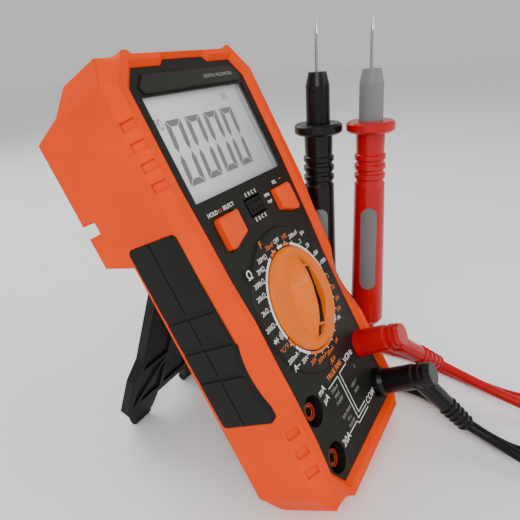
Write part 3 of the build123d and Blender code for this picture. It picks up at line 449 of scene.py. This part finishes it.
def coil_points(lead):
    """Turns of a neat round coil two cables wide and two high, worked out turn by turn."""
    inner, outer, upper = COIL_R - CABLE_D / 2, COIL_R + CABLE_D / 2, COIL_LOW + CABLE_D
    layers = [(outer, COIL_LOW), (inner, COIL_LOW), (inner, upper), (outer, upper)]
    steps = round(TURN_POINTS * lead["sweep"] / 360)
    points = []
    for i in range(steps + 1):
        angle = radians(lead["from"] + lead["way"] * lead["sweep"] * i / steps)
        turn = i * lead["sweep"] / steps / 360
        whole = min(int(turn), len(layers) - 1)
        step_up = min(max((turn - whole - 1 + CLIMB) / CLIMB, 0.0), 1.0)
        now, then = layers[whole], layers[min(whole + 1, len(layers) - 1)]
        radius, height = (a + (b - a) * step_up for a, b in zip(now, then))
        x, y = lead["coil"]
        points.append((x + radius * cos(angle), y + radius * sin(angle), height))
    return points


def lead_route(lead):
    return lead["out"] + coil_points(lead) + lead["back"]


def make_lead(colour, lead, diameter):
    curve = bpy.data.curves.new(f"{colour}_lead", "CURVE")
    curve.dimensions = "3D"
    curve.bevel_depth, curve.bevel_resolution, curve.resolution_u = diameter / 2, 4, 6
    curve.use_fill_caps = True
    route = lead_route(lead)
    spline = curve.splines.new("NURBS")
    spline.points.add(len(route) - 1)
    for point, (x, y, z) in zip(spline.points, route):
        point.co = (x * MM, y * MM, z * MM, 1)
    spline.order_u = 3
    spline.use_endpoint_u = True
    cable = new_piece(f"{colour}_lead", curve, f"cable_{colour}_silicone", "meter")
    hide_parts(*[f"{colour}_cable_{part}" for part in ("out", "coil", "back")])
    return cable


def curve_length(cable):
    """Length of a cable's own smooth line, in metres."""
    thin = cable.copy()
    thin.data = cable.data.copy()
    thin.data.bevel_depth = 0
    bpy.context.scene.collection.objects.link(thin)
    bpy.context.view_layer.update()
    mesh = bpy.data.meshes.new_from_object(thin.evaluated_get(bpy.context.evaluated_depsgraph_get()))
    ends = [[mesh.vertices[i].co for i in edge.vertices] for edge in mesh.edges]
    total = sum((a - b).length for a, b in ends)
    bpy.data.objects.remove(thin)
    bpy.data.meshes.remove(mesh)
    return total


# ---------------------------------------------------------------- properties

class MeterColours(bpy.types.PropertyGroup):
    holster: bpy.props.StringProperty(name="Holster", description="Soft holster, sRGB hex",
                                       default="#F04400")
    grip: bpy.props.StringProperty(name="Grips", description="Side grips, sRGB hex",
                                    default="#161613")
    panel: bpy.props.StringProperty(name="Panel", description="Front panel, sRGB hex",
                                     default="#191915")
    knob: bpy.props.StringProperty(name="Knob", description="Range knob, sRGB hex",
                                    default="#EA6E00")
    button: bpy.props.StringProperty(name="Buttons", description="Push buttons, sRGB hex",
                                      default="#F04600")
    segment: bpy.props.StringProperty(name="Digits", description="Display digits, sRGB hex",
                                       default="#4E5050")
    red: bpy.props.StringProperty(name="Red lead", description="Red lead, sRGB hex",
                                   default="#B4000A")
    black: bpy.props.StringProperty(name="Black lead", description="Black lead, sRGB hex",
                                     default="#0B0B0B")


class MeterSizes(bpy.types.PropertyGroup):
    digit_height: bpy.props.FloatProperty(name="Digit height", description="Height of a display digit",
                                          default=25.4 * MM, unit="LENGTH")
    digit_pitch: bpy.props.FloatProperty(name="Digit pitch", description="From one digit to the next",
                                         default=11.9 * MM, unit="LENGTH")
    letter_height: bpy.props.FloatProperty(name="Letter height", description="Height of the range labels",
                                           default=2.75 * MM, unit="LENGTH")
    switch_positions: bpy.props.IntProperty(name="Switch positions", description="Ticks round the dial",
                                            default=28, min=2)
    cable_diameter: bpy.props.FloatProperty(name="Cable diameter", description="Outside of a test lead",
                                            default=CABLE_D * MM, unit="LENGTH")
    rib_count: bpy.props.IntProperty(name="Boot ribs", description="Ribs on each plug's boot",
                                     default=5, min=2)


class MeterStage(bpy.types.PropertyGroup):
    lens: bpy.props.FloatProperty(name="Lens", description="Focal length of the camera in millimetres",
                                  default=34.1, min=1)
    eye: bpy.props.FloatVectorProperty(name="Eye", description="Where the camera stands", size=3,
                                       default=(-0.1671, -0.1088, 0.1763), subtype="XYZ", unit="LENGTH")
    turn: bpy.props.FloatVectorProperty(name="Turn", description="How the camera is turned", size=3,
                                        default=(radians(67.05), radians(3.68), radians(-60.59)),
                                        subtype="EULER", unit="ROTATION")
    daylight: bpy.props.FloatProperty(name="Daylight", description="Strength of the white surroundings",
                                      default=0.62, min=0)


# ---------------------------------------------------------------- operators

class METER_OT_finishes(bpy.types.Operator):
    """Gives every part of the frame its real finish"""
    bl_idname = "meter.finishes"
    bl_label = "Finish the parts"

    def execute(self, context):
        make_finishes(context.scene.meter_colours)
        for name, finish in NODE_FINISH.items():
            for slot in NODES[name].material_slots:
                slot.material = FINISHES[finish]
        return {"FINISHED"}


WHITE_LABELS = [
    ("20MΩ", -13.9, 23.6), ("2MΩ", -18.0, 20.2), ("200kΩ", -22.6, 16.4), ("20kΩ", -25.3, 11.8),
    ("2kΩ", -27.2, 6.4), ("200Ω", -28.6, 0.3), ("200mA", -24.4, -15.2), ("20A", -18.2, -19.6),
    ("OFF", 0.4, 26.3),
    ("200mV", 14.0, 24.2), ("2", 17.3, 19.8), ("20", 21.2, 16.2), ("200", 24.9, 10.9), ("1000", 27.4, 5.6),
    ("Hz", 18.4, -19.6),
]
ORANGE_LABELS = [
    ("°C/°F", -26.4, -9.8), ("20A", -13.6, -23.2), ("200mA", -7.0, -25.6), ("20mA", 0.6, -26.6),
    ("µA", 8.2, -25.8),
    ("A", -1.6, -30.2), ("20mF", -5.9, 26.0), ("hFE", 7.2, 25.8), ("2", 25.8, -1.4), ("20", 25.6, -7.2),
    ("200", 24.4, -12.6), ("750", 21.6, -16.8),
]
# the signs are text, x, y, height and how much bolder than the plain letter
WHITE_SIGNS = [("Ω", -25.6, 21.4, 4.8, 0.06), ("A~", -24.6, -18.8, 3.8, 0.03), ("V=", 21.6, 22.2, 3.2, 0.02)]
ORANGE_SIGNS = [("F", -10.9, 28.6, 4.0, 0.06), ("A=", -0.6, -30.4, 3.8, 0.06)]
RING_IN, RING_OUT = 22.95, 24.1
RING_WHITE = [(7.4, 68.7), (83.6, 93.2), (111.8, 198.7), (212.7, 237.0), (303.9, 314.5)]
RING_ORANGE = [(71.2, 81.8), (97.8, 109.0), (200.8, 211.2), (238.7, 301.6), (316.5, 365.0)]
TICK_R, TICK_LONG, TICK_WIDE = 24.5, 0.9, 0.42
DIODE_AT = (-27.6, -4.9)


class METER_OT_dial_print(bpy.types.Operator):
    """Prints the ring, the ticks and the ranges round the dial"""
    bl_idname = "meter.dial_print"
    bl_label = "Print the dial"

    def execute(self, context):
        sizes = context.scene.meter_sizes
        letter = sizes.letter_height / MM
        white = self.ranges(RING_WHITE, WHITE_LABELS, WHITE_SIGNS, letter)
        diode(white, *DIODE_AT)
        white.finish("dial_white", "ink_white")
        self.ranges(RING_ORANGE, ORANGE_LABELS, ORANGE_SIGNS, letter).finish("dial_orange", "ink_orange")
        plateau = FACE @ Matrix.Translation((0, 0, PLATEAU + INK_T)) @ Matrix.Scale(1 / MM, 4)
        grown("dial_ticks", dial_tick_tree(), "ink_white", plateau, "meter", Radius=TICK_R * MM,
              Length=TICK_LONG * MM, Width=TICK_WIDE * MM, Thickness=INK_T * MM,
              Count=float(sizes.switch_positions))
        return {"FINISHED"}

    def ranges(self, ring, labels, signs, letter):
        """One colour of the dial's print: its stretches of the ring, its ranges and its big signs."""
        art = Print()
        for start, end in ring:
            art.arc(start, end, RING_IN, RING_OUT, PLATEAU)
        for text, x, y in labels:
            art.words(text, x, y, letter, PLATEAU)
        for text, x, y, size, bold in signs:
            art.words(text, x, y, size, PLATEAU, bold=bold)
        return art


def diode(art, x, y):
    """Diode and sounder marks side by side: an arrowhead against a bar, then three sound waves."""
    half, line, wave_x, turn = 1.1, 0.3, x + 1.0, 15
    art.slab([(x - 2.4, y + half), (x - 2.4, y - half), (x - 0.6, y)], PLATEAU)
    art.ribbon([(x - 0.5, y - half), (x - 0.5, y + half)], 0.35, PLATEAU)
    art.ribbon([(x - 3.2, y), (x + 0.3, y)], line, PLATEAU)
    for radius in (0.9, 1.6, 2.3):
        for angle in range(-45, 45, turn):
            a, b = radians(angle), radians(angle + turn)
            art.ribbon([(wave_x + radius * cos(a), y + radius * sin(a)),
                        (wave_x + radius * cos(b), y + radius * sin(b))], line, PLATEAU)


SMALL_LABELS = [("HOLD", -27.2, 48.0, 2.3), ("SELECT", -16.6, 48.1, 2.3), ("REL", 20.9, 48.2, 2.3),
                ("NPN", 11.0, 44.7, 2.0), ("PNP", 11.2, 41.6, 2.0), ("mA", -16.3, -35.4, 4.0),
                ("µA", -15.9, -39.6, 4.0), ("20A", -15.6, -59.4, 4.4), ("COM", 15.0, -59.4, 4.4),
                ("VΩHz", 12.6, -36.4, 3.8)]
SOCKET_ROWS = [(0.6, 48.7), (0.0, 37.9)]
SOCKET_PITCH, SOCKET_LETTER = 2.5, 2.3
RATING_LETTER, PLATE_LETTER, LINE_WIDE, BOLDER = 2.2, 2.1, 0.42, 0.02
JOINING_LINES = [[(-11.3, -37.9), (-1.6, -37.9), (-1.4, -59.4), (8.8, -59.5)],
                 [(8.3, -37.8), (0.6, -37.8), (0.8, -57.8), (8.8, -57.8)],
                 [(-11.6, -59.4), (-3.6, -59.5), (-2.3, -61.2), (9.2, -61.2)]]
RATINGS = [("200mA", -7.6, -40.3), ("MAX", -7.8, -43.1), ("FUSED", -7.9, -45.9), ("20A MAX", -7.2, -52.2),
           ("10 s", -7.2, -55.0), ("FUSED", -7.0, -57.7), ("1000 V", 7.2, -47.4), ("MAX", 7.4, -50.6),
           ("C", 13.9, -42.6)]


class METER_OT_panel_print(bpy.types.Operator):
    """Prints the words, ratings and joining lines on the front panel"""
    bl_idname = "meter.panel_print"
    bl_label = "Print the panel"

    def execute(self, context):
        art = Print()
        for text, x, y, size in SMALL_LABELS:
            art.words(text, x, y, size, PANEL, bold=BOLDER)
        for x, y in SOCKET_ROWS:
            for i, letter in enumerate("EBCE"):
                art.words(letter, x + SOCKET_PITCH * (i - 1.5), y, SOCKET_LETTER, PANEL, bold=BOLDER)
        for line in JOINING_LINES:
            art.ribbon(line, LINE_WIDE, PANEL)
        art.finish("panel_white", "ink_white")
        small = Print()
        for text, x, y in RATINGS:
            small.words(text, x, y, RATING_LETTER, PANEL)
        small.words("DIGITAL MULTIMETER", 16.4, 98.7, PLATE_LETTER, PLATE_TOP)
        small.finish("panel_grey", "ink_grey")
        warm = Print()
        warm.words("TRUE RMS", -1.9, -34.9, 3.3, PANEL, bold=0.06)
        warm.words("~", 26.4, 48.7, 3.0, PANEL, bold=0.06)
        warm.words("B.L", -22.3, 48.0, 1.9, PANEL)
        warm.finish("panel_orange", "ink_orange")
        return {"FINISHED"}


class METER_OT_display(bpy.types.Operator):
    """Draws the four slanted digits and the small words on the display, and two dark lines of painted shade
    along its right-hand edge
    """
    bl_idname = "meter.display"
    bl_label = "Draw the display"

    DIGIT_W, STROKE, GAP, LEAN = 9.3, 2.5, 0.28, 2.7 / 25.4
    FIRST, DIGITS = (-27.5, 60.3), 4
    # x of two dark lines of painted shade along the display's right-hand edge, where the window's edge is in
    # shade, and their width
    EDGES, EDGE_WIDE = (30.3, 31.5), 0.3

    def execute(self, context):
        sizes = context.scene.meter_sizes
        digits = Print()
        for i in range(self.DIGITS):
            self.zero(digits, self.FIRST[0] + i * sizes.digit_pitch / MM, self.FIRST[1],
                      sizes.digit_height / MM)
        # painted shade: two dark lines in the digits' colour along the display's right-hand edge
        for edge in self.EDGES:
            digits.ribbon([(edge, 54.6), (edge, 93.7)], self.EDGE_WIDE, LCD_TOP)
        digits.finish("digits", "segment_dark")
        words = Print()
        words.words("PO", -28.0, 84.6, 6.2, LCD_TOP, narrow=0.5, bold=0.08)
        words.words("hFE", 18.9, 90.2, 4.2, LCD_TOP, narrow=0.7, bold=0.04)
        words.finish("display_words", "segment_faint")
        return {"FINISHED"}

    def zero(self, art, x, y, height):
        """A nought in six strokes, its middle bar unlit."""
        w, s, g, half = self.DIGIT_W, self.STROKE, self.GAP, height / 2
        strokes = [
            [(g, height), (s + g, height - s), (w - s - g, height - s), (w - g, height)],
            [(g, 0), (w - g, 0), (w - s - g, s), (s + g, s)],
        ]
        for left in (True, False):
            for low, high in ((g, half - g), (half + g, height - g)):
                bottom, top = low == g, high == height - g
                stroke = [(0, low), (s, low + s)] if bottom else [(s / 2, low), (s, low + s)]
                stroke += [(s, high - s), (0, high)] if top else [(s, high - s), (s / 2, high)]
                stroke += [] if top else [(0, high - s)]
                stroke += [] if bottom else [(0, low + s)]
                if not left:
                    stroke = [(w - a, b) for a, b in reversed(stroke)]
                strokes.append(stroke)
        for stroke in strokes:
            art.slab([(x + a + b * self.LEAN, y + b) for a, b in stroke], LCD_TOP)


class METER_OT_leads(bpy.types.Operator):
    """Lays the two test leads from their plugs, round their coils and up to the probes"""
    bl_idname = "meter.leads"
    bl_label = "Lay the test leads"

    def execute(self, context):
        diameter = context.scene.meter_sizes.cable_diameter
        for colour, lead in LEADS.items():
            cable = make_lead(colour, lead, diameter)
            round(curve_length(cable), 3)
        return {"FINISHED"}


# where each boot leaves its plug's body, on the face, and how far along it the ribs begin
BOOTS = {"red": (26.5, -37.8, 14.0), "black": (26.5, -59.5, 20.0)}
RIBS_BEGIN, RIBS_STOP_SHORT = 0.62, 1.2
RIB_FIRST_R, RIB_LAST_R, RIB_T = 4.0, 3.5, 0.7


class METER_OT_boots(bpy.types.Operator):
    """Adds the strain-relief ribs to the boots of both plugs"""
    bl_idname = "meter.boots"
    bl_label = "Rib the plugs' boots"

    def execute(self, context):
        sizes = context.scene.meter_sizes
        tree = boot_rib_tree()
        for colour, start in BOOTS.items():
            base = FACE @ Vector(start)
            tip = Vector(LEADS[colour]["out"][0]) * MM
            along = (tip - base).normalized()
            begin = base.lerp(tip, RIBS_BEGIN)
            place = Matrix.Translation(begin) @ along.to_track_quat("Z", "Y").to_matrix().to_4x4()
            ribs = grown(f"{colour}_boot_ribs", tree, f"lead_{colour}_pvc", place, "meter",
                         Reach=(tip - begin).length - RIBS_STOP_SHORT * MM,
                         First_radius=RIB_FIRST_R * MM, Last_radius=RIB_LAST_R * MM,
                         Thickness=RIB_T * MM, Count=float(sizes.rib_count))
            for face in ribs.data.polygons:
                face.use_smooth = True
        return {"FINISHED"}


class METER_OT_stage(bpy.types.Operator):
    """Sets up the pale floor, the soft lights and the camera"""
    bl_idname = "meter.stage"
    bl_label = "Set the stage"

    LIGHTS = (("key", (-0.75, -0.30, 0.70), 0.6, 6.0), ("fill", (0.30, -0.80, 0.45), 0.7, 2.5),
              ("back", (0.2, 0.7, 0.8), 0.7, 5.0))
    AIM = (0, 0, 0.08)

    def execute(self, context):
        stage = context.scene.meter_stage
        mesh = bpy.data.meshes.new("floor")
        mesh.from_pydata([(-4, -4, 0), (4, -4, 0), (4, 4, 0), (-4, 4, 0)], [], [(0, 1, 2, 3)])
        floor = bpy.data.objects.new("floor", mesh)
        context.scene.collection.objects.link(floor)
        material, tree, place = start_material("paper_sweep")
        fibre = add_node(tree, "ShaderNodeTexNoise", Vector=place, Scale=1 / (60 * MM))
        white = add_node(tree, "ShaderNodeMapRange", i0=fibre.outputs["Fac"], i3=0.93, i4=0.97)
        shader = add_node(tree, "ShaderNodeBsdfPrincipled", Base_Color=white.outputs[0], Roughness=0.9)
        mesh.materials.append(end_material(material, tree, shader, "#F6F6F6"))
        world = bpy.data.worlds.new("studio")
        context.scene.world = world
        world.use_nodes = True
        world.node_tree.nodes["Background"].inputs["Color"].default_value = (1, 1, 1, 1)
        world.node_tree.nodes["Background"].inputs["Strength"].default_value = stage.daylight
        for name, spot, size, power in self.LIGHTS:
            lamp = bpy.data.lights.new(name, "AREA")
            lamp.size, lamp.energy = size, power
            light = bpy.data.objects.new(name, lamp)
            light.location = spot
            light.rotation_euler = (Vector(self.AIM) - Vector(spot)).to_track_quat("-Z", "Y").to_euler()
            context.scene.collection.objects.link(light)
        lens = bpy.data.cameras.new("camera")
        lens.lens, lens.sensor_width = stage.lens, 36.0
        lens.clip_start = 0.01
        camera = bpy.data.objects.new("camera", lens)
        camera.location, camera.rotation_euler = stage.eye, Euler(stage.turn)
        context.scene.collection.objects.link(camera)
        context.scene.camera = camera
        return {"FINISHED"}


class METER_PT_panel(bpy.types.Panel):
    bl_label = "Multimeter"
    bl_idname = "METER_PT_panel"
    bl_space_type = "VIEW_3D"
    bl_region_type = "UI"
    bl_category = "Multimeter"

    def draw(self, context):
        for group in (context.scene.meter_colours, context.scene.meter_sizes, context.scene.meter_stage):
            for name in group.bl_rna.properties.keys():
                if name not in ("rna_type", "name"):
                    self.layout.prop(group, name)
        for operator in OPERATORS:
            self.layout.operator(operator.bl_idname)


OPERATORS = (METER_OT_stage, METER_OT_finishes, METER_OT_leads, METER_OT_boots, METER_OT_dial_print,
             METER_OT_panel_print, METER_OT_display)
CLASSES = (MeterColours, MeterSizes, MeterStage, *OPERATORS, METER_PT_panel)


def register():
    for item in CLASSES:
        bpy.utils.register_class(item)
    bpy.types.Scene.meter_colours = bpy.props.PointerProperty(type=MeterColours)
    bpy.types.Scene.meter_sizes = bpy.props.PointerProperty(type=MeterSizes)
    bpy.types.Scene.meter_stage = bpy.props.PointerProperty(type=MeterStage)


def unregister():
    del bpy.types.Scene.meter_colours, bpy.types.Scene.meter_sizes, bpy.types.Scene.meter_stage
    for item in reversed(CLASSES):
        bpy.utils.unregister_class(item)


def main():
    register()
    bpy.ops.meter.stage()
    bpy.ops.meter.finishes()
    bpy.ops.meter.leads()
    bpy.ops.meter.boots()
    bpy.ops.meter.dial_print()
    bpy.ops.meter.panel_print()
    bpy.ops.meter.display()


if __name__ == "__main__":
    main()
